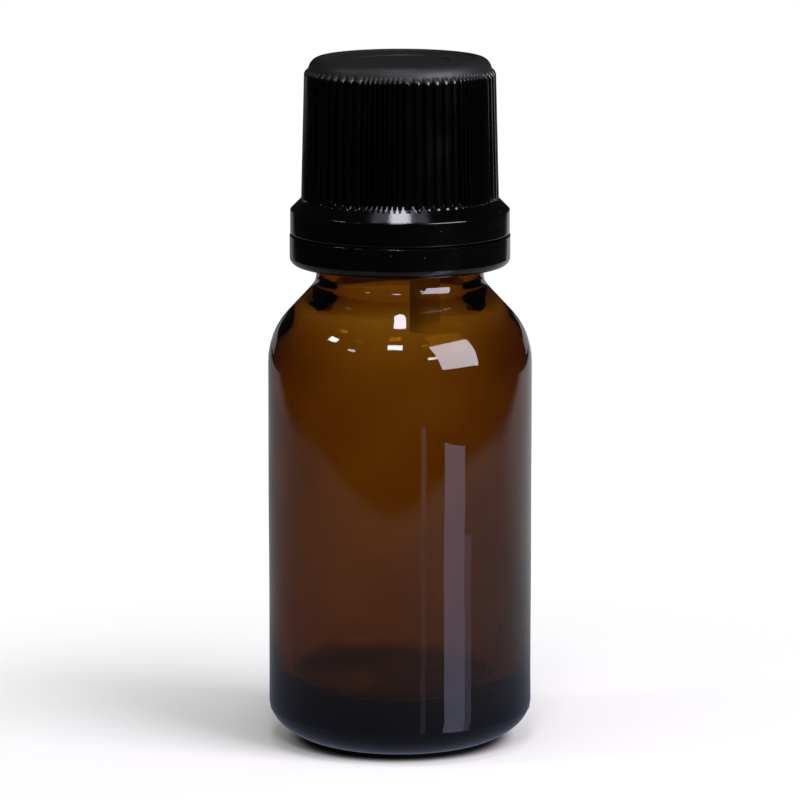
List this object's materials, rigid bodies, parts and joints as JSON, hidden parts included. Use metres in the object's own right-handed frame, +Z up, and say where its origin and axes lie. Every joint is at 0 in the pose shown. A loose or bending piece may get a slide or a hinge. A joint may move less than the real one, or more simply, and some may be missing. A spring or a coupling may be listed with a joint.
{
  "type": "dropper bottle",
  "caption": "Small amber glass bottle with rounded shoulder, press-in vertical dropper with side vent tube, and ribbed black screw cap with tamper band.",
  "frame": {"origin": "centre of the bottle's base, on the surface it stands on", "axes": "+Z up the bottle's axis to the cap; +X towards the side on which the vent tube hangs; -Y faces the camera of the picture"},
  "size_m": [0.0286, 0.0286, 0.0744],
  "materials": {
    "amber_glass": "moulded, fire-polished, glossy",
    "black_polypropylene": "moulded, satin",
    "natural_polyethylene": "moulded, translucent, waxy"
  },
  "bodies": {
    "bottle": {"glass_bottle": "amber_glass", "dropper_insert": "natural_polyethylene"},
    "band": {"tamper_band": "black_polypropylene"},
    "cap": {"screw_cap": "black_polypropylene"}
  },
  "joints": [
    {"name": "band_turn", "type": "hinge", "parent": "bottle", "child": "band", "pos_m": [0, 0, 0.054], "axis": [0, 0, 1], "range_deg": [0, 2520]},
    {"name": "cap_lift", "type": "slide", "parent": "band", "child": "cap", "axis": [0, 0, 1], "range_m": [0, 0.0211]}
  ],
  "couplings": [
    {"joint": "cap_lift", "follows": "band_turn", "m_per_rad": 0.00047746}
  ]
}
